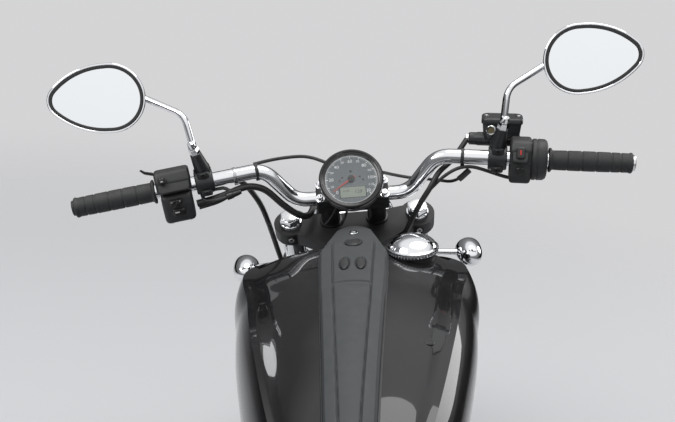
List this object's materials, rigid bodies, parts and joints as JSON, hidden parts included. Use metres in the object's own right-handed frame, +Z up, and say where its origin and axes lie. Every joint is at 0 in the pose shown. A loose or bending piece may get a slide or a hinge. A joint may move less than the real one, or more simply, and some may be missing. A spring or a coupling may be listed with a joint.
{
  "type": "cruiser motorcycle",
  "caption": "Cruiser motorcycle leaning on its side stand, with a V-twin engine, raked steering fork, long tank with a centre console, solo saddle, belt drive and cast wheels that turn.",
  "frame": {"origin": "middle of the outer box's underside, on the floor between the wheels", "axes": "+X forward, +Y to the rider's left, +Z up; the machine leans to +Y on its side stand"},
  "size_m": [2.3087, 0.9736, 1.2774],
  "materials": {
    "gloss_black": "gloss black paint",
    "satin_black": "satin black powder coat",
    "console_grey": "matte dark grey",
    "black_plastic": "matte black",
    "chrome": "polished chrome",
    "bare_metal": "satin aluminium",
    "engine_grey": "dark cast aluminium",
    "steel": "brushed steel",
    "rubber": "black rubber",
    "tyre": "black tread rubber",
    "leather": "black leather",
    "mirror": "mirror glass",
    "lamp_glass": "clear lens",
    "red_lens": "red lens"
  },
  "bodies": {
    "front_wheel": {"front_tyre": "tyre", "front_rim": "satin_black", "front_disc": "steel"},
    "rear_wheel": {"rear_tyre": "tyre", "rear_rim": "satin_black", "rear_disc": "steel", "rear_pulley": "satin_black"},
    "fork": {"fork_tubes": "chrome", "fork_sliders": "satin_black", "lower_clamp": "satin_black", "upper_clamp": "satin_black", "fork_caps": "chrome", "front_axle": "chrome", "front_caliper": "satin_black", "front_fender": "gloss_black", "handlebar": "chrome", "risers": "satin_black", "gauge": "black_plastic", "headlamp": "chrome", "front_signals": "chrome", "grips": "rubber", "switch_left": "black_plastic", "switch_right": "black_plastic", "levers": "satin_black", "brake_reservoir": "satin_black", "mirrors": "chrome", "mirror_glasses": "mirror", "cables": "rubber"},
    "chassis": {"frame_front": "satin_black", "frame_rear": "satin_black", "radiator": "satin_black", "swingarm": "satin_black", "rear_axle": "chrome", "rear_caliper": "satin_black", "shocks": "chrome", "drive_belt": "rubber", "crankcase": "engine_grey", "cylinder_front": "engine_grey", "cylinder_rear": "engine_grey", "engine_covers": "chrome", "intake_cover": "satin_black", "exhaust_pipes": "chrome", "mufflers": "chrome", "fuel_tank": "gloss_black", "tank_console": "console_grey", "fuel_cap": "chrome", "seat": "leather", "rear_fender": "gloss_black", "fender_struts": "chrome", "tail_lamp": "red_lens", "plate_bracket": "satin_black", "rear_signals": "chrome", "belt_guard": "black_plastic", "foot_controls": "satin_black", "side_covers": "satin_black"},
    "side_stand": {"side_stand": "satin_black"}
  },
  "joints": [
    {"name": "steering", "type": "hinge", "parent": "chassis", "child": "fork", "pos_m": [0.52351, -0.07495, 0.7622], "axis": [-0.4842, 0.1818, 0.8558], "range_deg": [-36, 30]},
    {"name": "front_wheel_spin", "type": "hinge", "parent": "fork", "child": "front_wheel", "pos_m": [0.83463, -0.1677, 0.31302], "axis": [-0.0459, 0.9715, -0.2324], "continuous": true},
    {"name": "rear_wheel_spin", "type": "hinge", "parent": "chassis", "child": "rear_wheel", "pos_m": [-0.72731, -0.16963, 0.31758], "axis": [-0.0001, 0.9781, -0.2079], "continuous": true},
    {"name": "side_stand_fold", "type": "hinge", "parent": "chassis", "child": "side_stand", "pos_m": [-0.02744, -0.05651, 0.11824], "axis": [-0.0317, 0.6329, 0.7736], "range_deg": [0, 96.81]}
  ]
}
